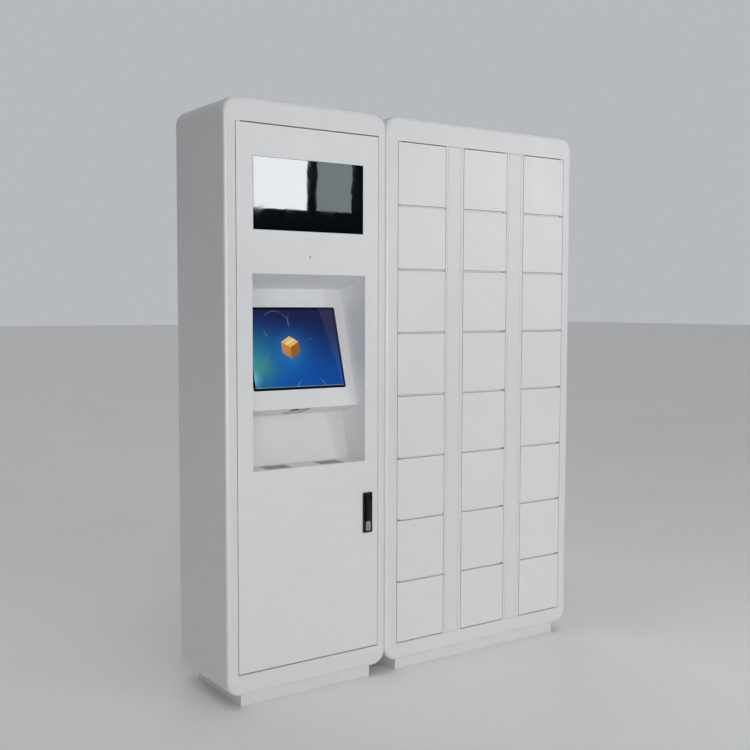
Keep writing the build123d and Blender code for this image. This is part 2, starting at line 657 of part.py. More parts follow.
# Recess of three sheets welded at two seams: a folded strip that follows the section, and a side wall
# at each end of it, all with a front flange
section_plane = Plane(
    origin=place(NICHE_X[0] - SHEET, 0, 0), x_dir=(0, 1, 0), z_dir=(1, 0, 0)
)
niche_width = NICHE_X[1] - NICHE_X[0]
with BuildPart() as niche_housing:
    with BuildSketch(section_plane):
        with BuildLine():
            Polyline(*niche_corners, close=True)
        make_face()
        offset(amount=SHEET, kind=Kind.INTERSECTION)
    extrude(amount=niche_width + 2 * SHEET)
    block(grow(NICHE_X, NICHE_FLANGE), (-NICHE_FLANGE, SHEET), (0, BODY_TOP), Mode.SUBTRACT)
    flange_z = grow((NICHE_SILL, NICHE_TOP), NICHE_FLANGE)
    flange_x = (NICHE_X[0] - NICHE_FLANGE, NICHE_X[1] + 2 * SHEET)
    block(flange_x, (SHEET, 2 * SHEET), flange_z)
    with BuildSketch(section_plane.offset(SHEET)):
        with BuildLine():
            Polyline(*niche_corners, close=True)
        make_face()
    extrude(amount=niche_width, mode=Mode.SUBTRACT)
    with BuildSketch(touch_plane):
        RectangleRounded(TOUCH_GLASS[0] + 2 * FIT_GAP, TOUCH_GLASS[1] + 2 * FIT_GAP, TOUCH_GLASS_RADIUS)
    extrude(amount=-2 * SHEET, mode=Mode.SUBTRACT)
    with BuildSketch(underside_plane):
        Rectangle(*SCANNER_SLOT)
    extrude(amount=-2 * SHEET, mode=Mode.SUBTRACT)
    for centre in READER_CENTRES:
        reader_x = around(centre, READER_SIZE[0] / 2 + FIT_GAP / 2)
        reader_y = around(READER_Y, READER_SIZE[1] / 2 + FIT_GAP / 2)
        block(reader_x, reader_y, (NICHE_SILL - SHEET, NICHE_SILL), Mode.SUBTRACT)
    for seam_x in ((NICHE_X[0], NICHE_X[0] + WELD_SEAM), (NICHE_X[1] - WELD_SEAM, NICHE_X[1])):
        block(seam_x, (0, REAR), (0, BODY_TOP), Mode.SUBTRACT)
niche_housing.part.label = "niche_housing"
export_step(niche_housing.part, "parts/niche_housing.step")

with BuildPart() as touch_glass:
    with BuildSketch(touch_plane):
        RectangleRounded(*TOUCH_GLASS, TOUCH_GLASS_RADIUS)
    extrude(amount=-TOUCH_GLASS_THICKNESS)
touch_glass.part.label = "touch_glass"
export_step(touch_glass.part, "parts/touch_glass.step")

with BuildPart() as touch_monitor:
    with BuildSketch(touch_plane.offset(-SHEET)):
        Rectangle(*TOUCH_MONITOR)
    extrude(amount=SHEET - TOUCH_MONITOR_DEPTH)
    with BuildSketch(touch_plane.offset(-SHEET)):
        Rectangle(TOUCH_GLASS[0] + 2 * FIT_GAP, TOUCH_GLASS[1] + 2 * FIT_GAP)
    extrude(amount=SHEET - TOUCH_GLASS_THICKNESS, mode=Mode.SUBTRACT)
touch_monitor.part.label = "touch_monitor"
export_step(touch_monitor.part, "parts/touch_monitor.step")

# Scanner above the niche underside: a case with a tapered pocket for its window
with BuildPart() as scanner_module:
    with BuildSketch(underside_plane.offset(-SHEET)):
        Rectangle(*SCANNER_BODY)
    extrude(amount=-SCANNER_HEIGHT)
    with BuildSketch(underside_plane.offset(-SHEET)):
        Rectangle(SCANNER_SLOT[0] - 2 * SCANNER_LIP, SCANNER_SLOT[1] - 2 * SCANNER_LIP)
    extrude(amount=-SCANNER_POCKET, taper=SCANNER_TAPER, mode=Mode.SUBTRACT)
scanner_module.part.label = "scanner_module"
export_step(scanner_module.part, "parts/scanner_module.step")

with BuildPart() as card_readers:
    for centre in READER_CENTRES:
        plate_z = (NICHE_SILL - READER_PLATE, NICHE_SILL)
        block(around(centre, READER_SIZE[0] / 2), around(READER_Y, READER_SIZE[1] / 2), plate_z)
        body_z = (plate_z[0] - READER_BODY_HEIGHT, plate_z[0])
        block(around(centre, READER_BODY[0] / 2), around(READER_Y, READER_BODY[1] / 2), body_z)
card_readers.part.label = "card_readers"
export_step(card_readers.part, "parts/card_readers.step")

# ---- Swing handle and lock bars ----

with BuildPart() as handle_base:
    with BuildSketch(upright_plane(0)):
        with Locations((HANDLE_X, (HANDLE_Z[0] + HANDLE_Z[1]) / 2)):
            RectangleRounded(HANDLE_WIDTH, HANDLE_Z[1] - HANDLE_Z[0], HANDLE_CORNER)
    extrude(amount=HANDLE_PLATE)
    block(housing_x, (0, HANDLE_HOUSING_DEPTH), HANDLE_HOUSING_Z)
    head_seat = (-HANDLE_PLATE, SPINDLE_HEAD_Y[1] + RUNNING_GAP)
    forward_pin(HANDLE_X, head_seat, SPINDLE_Z, SPINDLE_HEAD_RADIUS + RUNNING_GAP, Mode.SUBTRACT)
    whole_depth = (-HANDLE_PLATE, HANDLE_HOUSING_DEPTH)
    forward_pin(HANDLE_X, whole_depth, SPINDLE_Z, SPINDLE_RADIUS + RUNNING_GAP, Mode.SUBTRACT)
    forward_pin(KEY_X, (-HANDLE_PLATE, KEY_Y[1]), KEY_Z, KEY_RADIUS + RUNNING_GAP, Mode.SUBTRACT)
    forward_pin(KEY_X, (-HANDLE_PLATE, 0), COVER_PIVOT_Z, COVER_PIN_RADIUS + RUNNING_GAP, Mode.SUBTRACT)
handle_base.part.label = "handle_base"
export_step(handle_base.part, "parts/handle_base.step")

with BuildPart() as lock_spindle:
    forward_pin(HANDLE_X, SPINDLE_HEAD_Y, SPINDLE_Z, SPINDLE_HEAD_RADIUS)
    forward_pin(HANDLE_X, (SPINDLE_HEAD_Y[1], CAM_Y[0]), SPINDLE_Z, SPINDLE_RADIUS)
    square = SPINDLE_SQUARE / 2
    block(around(HANDLE_X, square), CAM_Y, around(SPINDLE_Z, square))
    for ear in (EAR_X, (-EAR_X[1], -EAR_X[0])):
        ear_x = (HANDLE_X + ear[0], HANDLE_X + ear[1])
        block(ear_x, (LEVER_Y[0], SPINDLE_HEAD_Y[0]), EAR_Z)
    pin_x = around(HANDLE_X, EAR_X[1])
    sideways_pin(pin_x, LEVER_PIVOT_Y, SPINDLE_Z, LEVER_PIN_RADIUS)
lock_spindle.part.label = "lock_spindle"
export_step(lock_spindle.part, "parts/lock_spindle.step")

# Lever: a grip that hangs from the spindle's cross pin by a narrower neck
with BuildPart() as handle_lever:
    block(around(HANDLE_X, LEVER_WIDTH / 2), LEVER_Y, LEVER_Z)
    neck_x = around(HANDLE_X, LEVER_NECK_WIDTH / 2)
    neck_y = around(LEVER_PIVOT_Y, LEVER_NECK_RADIUS)
    block(neck_x, neck_y, (LEVER_Z[1], SPINDLE_Z))
    sideways_pin(neck_x, LEVER_PIVOT_Y, SPINDLE_Z, LEVER_NECK_RADIUS)
    sideways_pin(neck_x, LEVER_PIVOT_Y, SPINDLE_Z, LEVER_PIN_RADIUS + RUNNING_GAP, Mode.SUBTRACT)
handle_lever.part.label = "handle_lever"
export_step(handle_lever.part, "parts/handle_lever.step")

# Key cylinder with a key slot in its face
with BuildPart() as key_cylinder:
    forward_pin(KEY_X, KEY_Y, KEY_Z, KEY_RADIUS)
    slot_y = (KEY_Y[0], KEY_Y[0] + KEY_SLOT_DEPTH)
    block(around(KEY_X, KEY_SLOT[0] / 2), slot_y, around(KEY_Z, KEY_SLOT[1] / 2), Mode.SUBTRACT)
key_cylinder.part.label = "key_cylinder"
export_step(key_cylinder.part, "parts/key_cylinder.step")

# Dust cover that swings aside from the key cylinder
with BuildPart() as key_cover:
    with BuildSketch(upright_plane(COVER_Y[1])):
        with Locations((KEY_X, (COVER_Z[0] + COVER_Z[1]) / 2)):
            RectangleRounded(COVER_WIDTH, COVER_Z[1] - COVER_Z[0], COVER_CORNER)
    extrude(amount=COVER_Y[1] - COVER_Y[0])
    forward_pin(KEY_X, (COVER_Y[1], COVER_PIN_END), COVER_PIVOT_Z, COVER_PIN_RADIUS)
key_cover.part.label = "key_cover"
export_step(key_cover.part, "parts/key_cover.step")

# Cam plate on the spindle's square end, with one drive pin for each lock bar
with BuildPart() as lock_cam:
    cam_x = around(HANDLE_X, CAM_THROW + CAM_PIN_RADIUS + CAM_MARGIN)
    block(cam_x, CAM_Y, around(SPINDLE_Z, CAM_WIDTH / 2))
    block(around(HANDLE_X, square), CAM_Y, around(SPINDLE_Z, square), Mode.SUBTRACT)
    upper_pin_y = (CAM_Y[1], UPPER_ROD_Y[1] + UPPER_PIN_PROUD)
    forward_pin(HANDLE_X - CAM_THROW, upper_pin_y, SPINDLE_Z, CAM_PIN_RADIUS)
    lower_pin_y = (CAM_Y[1], LOWER_ROD_Y[1] + LOWER_PIN_PROUD)
    forward_pin(HANDLE_X + CAM_THROW, lower_pin_y, SPINDLE_Z, CAM_PIN_RADIUS)
lock_cam.part.label = "lock_cam"
export_step(lock_cam.part, "parts/lock_cam.step")

# Lock bars: a yoke at the cam, and a flat bar welded to it that ends just inside the door frame's end flange.
# The yoke's window lets the cam pin cross it and takes up the arc of the pin.
window_margin = CAM_PIN_RADIUS + YOKE_CLEARANCE
upper_tip = DOOR_OPENING_Z[1] - DOOR_FLANGE - ROD_END_CLEARANCE
lower_tip = DOOR_OPENING_Z[0] + DOOR_FLANGE + ROD_END_CLEARANCE
for name, side, rod_y, tip in (
    ("upper_rod", 1, UPPER_ROD_Y, upper_tip),
    ("lower_rod", -1, LOWER_ROD_Y, lower_tip),
):
    window_x = sorted((HANDLE_X - side * (CAM_THROW + window_margin), HANDLE_X + side * window_margin))
    window_near = SPINDLE_Z - side * window_margin
    window_far = SPINDLE_Z + side * (window_margin + YOKE_LOST_MOTION)
    window_z = sorted((window_near, window_far))
    yoke_x = grow(window_x, YOKE_WALL)
    bar_start = window_far + side * (YOKE_WALL + WELD_SEAM)
    with BuildPart() as rod:
        block((min(yoke_x[0], ROD_X[0]), max(yoke_x[1], ROD_X[1])), rod_y, grow(window_z, YOKE_WALL))
        block(ROD_X, rod_y, sorted((bar_start, tip)))
        block(window_x, rod_y, window_z, Mode.SUBTRACT)
    rod.part.label = name
    export_step(rod.part, f"parts/{name}.step")

# Guides for the lock bars: a leg on the door skin and an eye around the bar
with BuildPart() as rod_guides:
    for height in GUIDE_HEIGHTS:
        rod_y = UPPER_ROD_Y if height > SPINDLE_Z else LOWER_ROD_Y
        leg_x = (GUIDE_X[1] - GUIDE_SHEET, GUIDE_X[1])
        guide_z = around(height, GUIDE_HALF_HEIGHT)
        block(leg_x, (SHEET, GUIDE_Y[1]), guide_z)
        block(GUIDE_X, (SHEET, SHEET + GUIDE_SHEET), guide_z)
        block(GUIDE_X, GUIDE_Y, around(height, GUIDE_HALF_HEIGHT / 2))
        window_x = grow(ROD_X, GUIDE_CLEARANCE)
        block(window_x, grow(rod_y, GUIDE_CLEARANCE), guide_z, Mode.SUBTRACT)
rod_guides.part.label = "rod_guides"
export_step(rod_guides.part, "parts/rod_guides.step")

# ---- Locker bank, fixed pieces ----

strip_frames = [
    Frame(
        x=grow(strip, STRIP_GAP),
        z=LOCKER_OPENING_Z,
        depth=STRIP_THICKNESS,
        left_flange=STRIP_FLANGE,
        right_flange=STRIP_FLANGE,
        end_flange=STRIP_FLANGE,
    )
    for strip in STRIPS_X
]
column_frames = [column_frame(column) for column in columns]
with BuildPart() as locker_shell:
    add(cabinet_shell(locker_x, column_frames + strip_frames))
    for column in columns:
        for row in range(1, ROWS + 1):
            middle = sum(row_lines(row)) / 2
            flange_y = (LOCKER_STOP, LOCKER_STOP + SHEET)
            block(slot_x(column), flange_y, around(middle, SLOT_HALF_HEIGHT), Mode.SUBTRACT)
locker_shell.part.label = "locker_shell"
export_step(locker_shell.part, "parts/locker_shell.step")

with BuildPart() as locker_rear_panel:
    add(rear_panel(locker_x, ()))
locker_rear_panel.part.label = "locker_rear_panel"
export_step(locker_rear_panel.part, "parts/locker_rear_panel.step")

with BuildPart() as locker_plinth:
    add(plinth(locker_x))
locker_plinth.part.label = "locker_plinth"
export_step(locker_plinth.part, "parts/locker_plinth.step")

inside_y = (LOCKER_STOP + SHEET, REAR)
inside_z = grow(LOCKER_OPENING_Z, -END_FLANGE)

# Two side walls for each column of compartments
with BuildPart() as locker_partitions:
    for column in columns:
        clear = clear_width(column)
        block((clear[0] - SHEET, clear[0]), inside_y, inside_z)
        block((clear[1], clear[1] + SHEET), inside_y, inside_z)
locker_partitions.part.label = "locker_partitions"
export_step(locker_partitions.part, "parts/locker_partitions.step")

# Shelves, each with a folded lip and a nose that stands in the groove between two doors, and the end
# plates. The nose stops short of the hinge bracket.
with BuildPart() as locker_shelves:
    for column in columns:
        clear = clear_width(column)
        block(clear, inside_y, (inside_z[0], inside_z[0] + SHEET))
        block(clear, inside_y, (inside_z[1] - SHEET, inside_z[1]))
        nose_x = list(COLUMN_DOORS_X[column])
        if HINGED_ON_LEFT[column]:
            nose_x[0] = pivot_x(column) + LOCKER_TAB_REACH + SHELF_NOSE_GAP
        else:
            nose_x[1] = pivot_x(column) - LOCKER_TAB_REACH - SHELF_NOSE_GAP
        for row in range(1, ROWS):
            line = row_lines(row)[0]
            block(clear, (LOCKER_STOP, REAR), (line + SHELF_LIP - SHEET, line + SHELF_LIP))
            block(clear, (LOCKER_STOP, LOCKER_STOP + SHEET), around(line, SHELF_LIP))
            block(nose_x, (SHELF_NOSE_FRONT, LOCKER_STOP), around(line, SHELF_NOSE / 2))
locker_shelves.part.label = "locker_shelves"
export_step(locker_shelves.part, "parts/locker_shelves.step")

# Removable covers in front of the locks
with BuildPart() as lock_cover_strips:
    for strip in STRIPS_X:
        tray(strip, STRIP_THICKNESS, grow(LOCKER_OPENING_Z, -STRIP_GAP))
lock_cover_strips.part.label = "lock_cover_strips"
export_step(lock_cover_strips.part, "parts/lock_cover_strips.step")

# One lock behind the frame flange of each compartment, with its mouth at the striker slot
with BuildPart() as electric_locks:
    for column in columns:
        clear = clear_width(column)
        if HINGED_ON_LEFT[column]:
            lock_x = (clear[1] + SHEET, clear[1] + SHEET + LOCK_WIDTH)
        else:
            lock_x = (clear[0] - SHEET - LOCK_WIDTH, clear[0] - SHEET)
        for row in range(1, ROWS + 1):
            middle = sum(row_lines(row)) / 2
            lock_y = (inside_y[0], inside_y[0] + LOCK_LENGTH)
            block(lock_x, lock_y, around(middle, LOCK_HALF_HEIGHT))
            connector_y = (lock_y[1], lock_y[1] + LOCK_CONNECTOR_LENGTH)
            connector_z = (middle + LOCK_CONNECTOR_Z[0], middle + LOCK_CONNECTOR_Z[1])
            block(grow(lock_x, -LOCK_CONNECTOR_INSET), connector_y, connector_z)
            mouth_y = (lock_y[0], lock_y[0] + LOCK_MOUTH_DEPTH)
            block(slot_x(column), mouth_y, around(middle, SLOT_HALF_HEIGHT), Mode.SUBTRACT)
electric_locks.part.label = "electric_locks"
export_step(electric_locks.part, "parts/electric_locks.step")

# Hinge brackets in the grooves: a tab on the jamb, with a pin into the doors above and below it
with BuildPart() as locker_hinge_brackets:
    for column in columns:
        axis_x = pivot_x(column)
        jamb_x = column_frames[column].x[0 if HINGED_ON_LEFT[column] else 1]
        reach = LOCKER_TAB_REACH if HINGED_ON_LEFT[column] else -LOCKER_TAB_REACH
        tab_x = sorted((jamb_x, axis_x + reach))
        for line_number in range(ROWS + 1):
            line = LOCKER_OPENING_Z[0] + line_number * ROW_PITCH
            below = 0 if line_number == 0 else 1
            above = 0 if line_number == ROWS else 1
            tab_z = (line - below * LOCKER_TAB / 2, line + above * LOCKER_TAB / 2)
            block(tab_x, LOCKER_TAB_Y, tab_z)
            reach_z = GROOVE / 2 + LOCKER_PIN_ENGAGEMENT
            pin_z = (line - below * reach_z, line + above * reach_z)
            upright_pin(axis_x, LOCKER_PIVOT_DEPTH, pin_z, LOCKER_PIN_RADIUS)
locker_hinge_brackets.part.label = "locker_hinge_brackets"
export_step(locker_hinge_brackets.part, "parts/locker_hinge_brackets.step")

# ---- Locker doors, row 1 at the top and column 1 beside the control cabinet ----

for column in columns:
    for row in range(1, ROWS + 1):
        name = f"locker_door_c{column + 1}_r{row}"
        with BuildPart() as compartment_door:
            add(locker_door(column, row))
        compartment_door.part.label = name
        export_step(compartment_door.part, f"parts/{name}.step")
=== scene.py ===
"""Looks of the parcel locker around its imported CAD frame: finishes, fittings, floor, light and camera."""

import math

import bmesh
import bpy
from mathutils import Matrix, Vector


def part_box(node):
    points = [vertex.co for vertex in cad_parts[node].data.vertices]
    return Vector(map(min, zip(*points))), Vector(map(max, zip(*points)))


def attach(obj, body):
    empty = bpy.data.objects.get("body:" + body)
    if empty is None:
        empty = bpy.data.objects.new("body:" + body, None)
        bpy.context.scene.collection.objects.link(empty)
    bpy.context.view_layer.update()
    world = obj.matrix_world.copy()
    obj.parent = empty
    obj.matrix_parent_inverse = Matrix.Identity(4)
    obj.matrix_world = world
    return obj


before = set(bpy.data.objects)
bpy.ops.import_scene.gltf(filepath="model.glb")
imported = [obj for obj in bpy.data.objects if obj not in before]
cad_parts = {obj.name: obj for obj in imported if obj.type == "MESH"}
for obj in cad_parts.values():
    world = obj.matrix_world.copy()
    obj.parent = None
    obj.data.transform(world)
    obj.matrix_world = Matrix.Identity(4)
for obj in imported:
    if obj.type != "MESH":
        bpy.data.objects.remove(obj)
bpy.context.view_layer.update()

MM = 0.001

# The touch panel: its middle, its outward direction and its direction up the slope
TOUCH_LOW, TOUCH_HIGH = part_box("touch_glass")
PANEL_TILT = math.radians(16.0)
PANEL_OUT = Vector((0, -math.cos(PANEL_TILT), math.sin(PANEL_TILT)))
PANEL_UP = Vector((0, math.sin(PANEL_TILT), math.cos(PANEL_TILT)))
TOUCH_HALF = Vector((174, 138.5)) * MM
TOUCH_MIDDLE = (TOUCH_LOW + TOUCH_HIGH) / 2


# ---- Node trees ----


class Graph:
    """One procedural material, with short calls that add a node and wire its inputs."""

    def __init__(self, name, **constants):
        self.material = bpy.data.materials.new(name)
        self.material.use_nodes = True
        self.nodes = self.material.node_tree.nodes
        self.links = self.material.node_tree.links
        self.shader = self.nodes["Principled BSDF"]
        for socket, value in constants.items():
            self.shader.inputs[socket.replace("_", " ")].default_value = value

    def feed(self, node, socket, value):
        """Wires a socket to another node's output, or sets it to a constant."""
        if isinstance(value, bpy.types.NodeSocket):
            self.links.new(value, node.inputs[socket])
        else:
            node.inputs[socket].default_value = value

    def surface(self, socket, value):
        """Wires a varying value to one of the shader's sockets."""
        self.links.new(value, self.shader.inputs[socket])

    def add(self, kind, inputs=(), output=0, **settings):
        """Adds one shader node and gives back one of its outputs."""
        node = self.nodes.new("ShaderNode" + kind)
        for key, value in settings.items():
            setattr(node, key, value)
        for socket, value in dict(inputs).items():
            self.feed(node, socket, value)
        return node.outputs[output]

    def place(self):
        """Position on the object at rest, in metres."""
        return self.add("TexCoord", output="Object")

    def axis(self, name):
        return self.add("SeparateXYZ", {0: self.place()}, output=name)

    def along(self, direction, start):
        """Distance from start along a direction, in metres."""
        offset = self.add("VectorMath", {0: self.place(), 1: tuple(start)}, operation="SUBTRACT")
        return self.add(
            "VectorMath", {0: offset, 1: tuple(direction)}, output="Value", operation="DOT_PRODUCT"
        )

    def noise(self, scale, detail=2.0, roughness=0.5, stretch=None):
        """Noise with scale in cells per metre, drawn out along an axis where stretch is under 1."""
        where = self.place()
        if stretch:
            where = self.add("VectorMath", {0: where, 1: stretch}, operation="MULTIPLY")
        inputs = {"Vector": where, "Scale": scale, "Detail": detail, "Roughness": roughness}
        return self.add("TexNoise", inputs)

    def math(self, operation, a, b=0.0, c=0.0):
        return self.add("Math", {0: a, 1: b, 2: c}, operation=operation)

    def span(self, value, low, high, to_low=0.0, to_high=1.0):
        """value from low to high made to_low to to_high, and held outside."""
        inputs = {0: value, 1: low, 2: high, 3: to_low, 4: to_high}
        return self.add("MapRange", inputs, clamp=True)

    def mix(self, share, a, b):
        """Colour a where share is 0 and colour b where it is 1."""
        return self.add("Mix", {0: share, 6: a, 7: b}, output=2, data_type="RGBA")

    def edges(self, radius, sharpest=0.12):
        """1 along edges that stand out, 0 on flat faces."""
        rounded = self.add("Bevel", {"Radius": radius}, samples=4)
        true_normal = self.add("NewGeometry", output="Normal")
        facing = self.add(
            "VectorMath", {0: rounded, 1: true_normal}, output="Value", operation="DOT_PRODUCT"
        )
        return self.span(facing, 1.0 - sharpest, 0.999, 1.0, 0.0)

    def relief(self, heights):
        """Chains bumps, each given as (height source, its height in metres)."""
        normal = None
        for source, depth in heights:
            inputs = {"Strength": 1.0, "Distance": depth, "Height": source}
            if normal:
                inputs["Normal"] = normal
            normal = self.add("Bump", inputs)
        self.surface("Normal", normal)


def grey(value, cool=0.0):
    """A near grey, a little bluer for a positive cool."""
    return (value * (1 - cool), value, value * (1 + cool / 2), 1.0)


# ---- Finishes ----


def powder_coat(name, tone):
    """Satin powder coat on sheet steel: orange peel, slight waviness, rubbed edges, and a slow change of
    tone that is partly random and partly painted shade for panels tilted a little against the light.
    """
    g = Graph(name, IOR=1.5)
    # Slow change of tone: partly random, partly painted shade for panels tilted a little against the light.
    tone_drift_and_painted_tilt_shade = g.noise(1.6, 3.0)
    mottle = g.noise(38.0, 4.0, 0.6)
    colour = g.mix(g.span(tone_drift_and_painted_tilt_shade, 0.3, 0.7), grey(tone * 0.97, 0.02), grey(tone * 1.02, 0.012))
    colour = g.mix(g.span(mottle, 0.3, 0.75, 0.0, 0.35), colour, grey(tone * 0.93, 0.0))
    speck = g.noise(240.0, 2.0)
    colour = g.mix(g.span(speck, 0.68, 0.8, 0.0, 0.3), colour, grey(tone * 0.72, 0.0))
    rubbed = g.math("MULTIPLY", g.edges(1.6 * MM), g.span(g.noise(60.0, 3.0), 0.42, 0.62))
    colour = g.mix(g.math("MULTIPLY", rubbed, 0.5), colour, grey(min(tone * 1.12, 0.9), 0.0))
    g.surface("Base Color", colour)
    handled = g.span(g.noise(5.0, 4.0, 0.65), 0.35, 0.75, 0.36, 0.5)
    g.surface("Roughness", handled)
    peel = g.noise(700.0, 1.0)
    waves = g.noise(4.5, 1.0)
    g.relief([(waves, 0.5 * MM), (peel, 0.012 * MM)])
    return g.material


def display_black():
    """Glass over a dark, switched-off panel, with faint wipe marks."""
    g = Graph("advert_glass", IOR=1.52)
    low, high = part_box("display_glass")
    middle = (low + high) / 2
    border = 11 * MM
    panel_half_x = (high.x - low.x) / 2 - border
    panel_half_z = (high.z - low.z) / 2 - border
    beyond_x = g.math("SUBTRACT", g.math("ABSOLUTE", g.along((1, 0, 0), middle)), panel_half_x)
    beyond_z = g.math("SUBTRACT", g.math("ABSOLUTE", g.along((0, 0, 1), middle)), panel_half_z)
    in_border = g.span(g.math("MAXIMUM", beyond_x, beyond_z), -0.2 * MM, 0.2 * MM)
    pixels = g.span(g.noise(26.0, 2.0), 0.3, 0.7)
    panel = g.mix(pixels, (0.0012, 0.0018, 0.003, 1), (0.002, 0.0028, 0.0045, 1))
    g.surface("Base Color", g.mix(in_border, panel, (0.0008, 0.0008, 0.001, 1)))
    smears = g.noise(14.0, 5.0, 0.7, stretch=(1.0, 1.0, 0.35))
    g.surface("Roughness", g.span(smears, 0.45, 0.8, 0.015, 0.06))
    g.relief([(g.noise(9.0, 2.0), 0.10 * MM), (g.noise(34.0, 2.0), 0.018 * MM)])
    return g.material


def die_cast_black():
    """Black painted die casting, worn to grey along its edges."""
    g = Graph("black_die_casting", IOR=1.5, Specular_IOR_Level=0.3)
    grain = g.noise(900.0, 2.0)
    cloud = g.noise(30.0, 3.0)
    colour = g.mix(cloud, grey(0.004), grey(0.009))
    worn = g.math("MULTIPLY", g.edges(0.9 * MM), g.span(g.noise(220.0, 3.0), 0.42, 0.6))
    g.surface("Base Color", g.mix(g.math("MULTIPLY", worn, 0.6), colour, grey(0.11)))
    g.surface("Roughness", g.span(cloud, 0.3, 0.7, 0.26, 0.4))
    g.relief([(grain, 0.03 * MM)])
    return g.material


def metal(name, tone, roughness, brushed, spangle=0.0):
    """Bare or plated metal: brushed along one axis, or with the crystal pattern of zinc."""
    g = Graph(name, Metallic=1.0, IOR=1.5)
    lines = g.noise(260.0, 3.0, 0.6, stretch=brushed)
    colour = g.mix(lines, grey(tone * 0.86, 0.01), grey(tone, 0.0))
    if spangle:
        inputs = {"Vector": g.place(), "Scale": 1 / spangle}
        crystals = g.add("TexVoronoi", inputs, output="Color")
        level = g.add("SeparateColor", {0: crystals})
        colour = g.mix(g.span(level, 0.0, 1.0, 0.0, 0.5), colour, grey(tone * 0.72, 0.03))
    g.surface("Base Color", colour)
    g.surface("Roughness", g.span(lines, 0.3, 0.7, roughness * 0.8, roughness * 1.25))
    g.relief([(lines, 0.02 * MM)])
    return g.material


def moulded_plastic(name, tone, roughness, cool=0.0):
    """Spark-eroded plastic or rubber, with slightly polished edges."""
    g = Graph(name, IOR=1.48)
    grain = g.noise(1100.0, 2.0)
    cloud = g.noise(18.0, 3.0)
    colour = g.mix(cloud, grey(tone * 0.85, cool), grey(tone * 1.15, cool))
    rubbed = g.math("MULTIPLY", g.edges(1.0 * MM), 0.5)
    g.surface("Base Color", g.mix(rubbed, colour, grey(tone * 1.8 + 0.01, cool)))
    g.surface("Roughness", g.span(cloud, 0.3, 0.7, roughness * 0.88, roughness * 1.1))
    g.relief([(grain, 0.04 * MM)])
    return g.material


def circuit_board():
    """Green solder mask with traces and pads, under dark parts and green terminal strips."""
    g = Graph("circuit_board_green", IOR=1.5)
    low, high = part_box("lock_control_board")
    parts_depth, terminal_strip = 12.2 * MM, 25 * MM
    cells = g.add("TexBrick", {"Vector": g.place(), "Scale": 90.0, "Mortar Size": 0.02}, output="Fac")
    mask = g.mix(g.noise(120.0, 2.0), (0.004, 0.05, 0.018, 1), (0.006, 0.075, 0.026, 1))
    board = g.mix(g.math("MULTIPLY", cells, 0.6), mask, (0.05, 0.18, 0.06, 1))
    proud = g.math("LESS_THAN", g.axis("Y"), high.y - parts_depth)
    parts = g.mix(g.noise(80.0, 2.0), grey(0.018), grey(0.035))
    half_height = (high.z - low.z) / 2
    off_middle = g.math("ABSOLUTE", g.math("SUBTRACT", g.along((0, 0, 1), low), half_height))
    near_ends = g.math("GREATER_THAN", off_middle, half_height - terminal_strip)
    parts = g.mix(near_ends, parts, (0.03, 0.22, 0.08, 1))
    g.surface("Base Color", g.mix(proud, board, parts))
    g.surface("Roughness", g.span(g.noise(60.0, 2.0), 0.3, 0.7, 0.3, 0.5))
    g.relief([(g.noise(500.0, 2.0), 0.05 * MM)])
    return g.material


